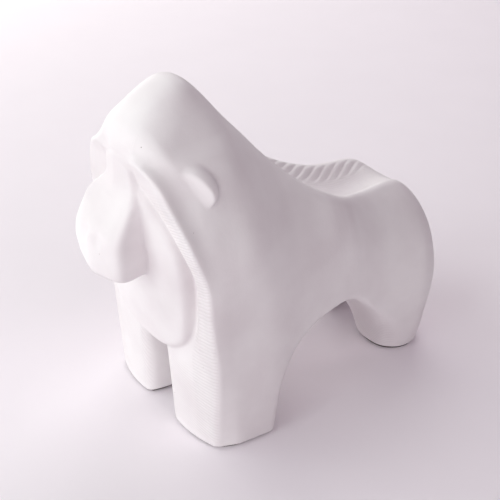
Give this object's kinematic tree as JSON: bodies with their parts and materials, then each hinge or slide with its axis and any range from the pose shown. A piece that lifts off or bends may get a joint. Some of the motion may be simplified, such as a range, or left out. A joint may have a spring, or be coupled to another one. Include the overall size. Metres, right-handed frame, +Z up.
{
  "type": "gorilla figurine",
  "caption": "Matt white ceramic gorilla standing on all fours: a hollow cast body with face, beard and ears seated on it, and a thin pad under each foot.",
  "frame": {"origin": "middle of the length and width, on the surface that the figurine stands on", "axes": "+Z up; the animal faces -Y, so its left side is +X"},
  "size_m": [0.1154, 0.2215, 0.2003],
  "materials": {
    "ceramic": "matt",
    "felt": "matt"
  },
  "bodies": {
    "root": {"body_shell": "ceramic", "face_mask": "ceramic", "beard_panel": "ceramic", "ear_left": "ceramic", "ear_right": "ceramic", "foot_pad_front_left": "felt", "foot_pad_front_right": "felt", "foot_pad_rear_left": "felt", "foot_pad_rear_right": "felt"}
  },
  "joints": []
}
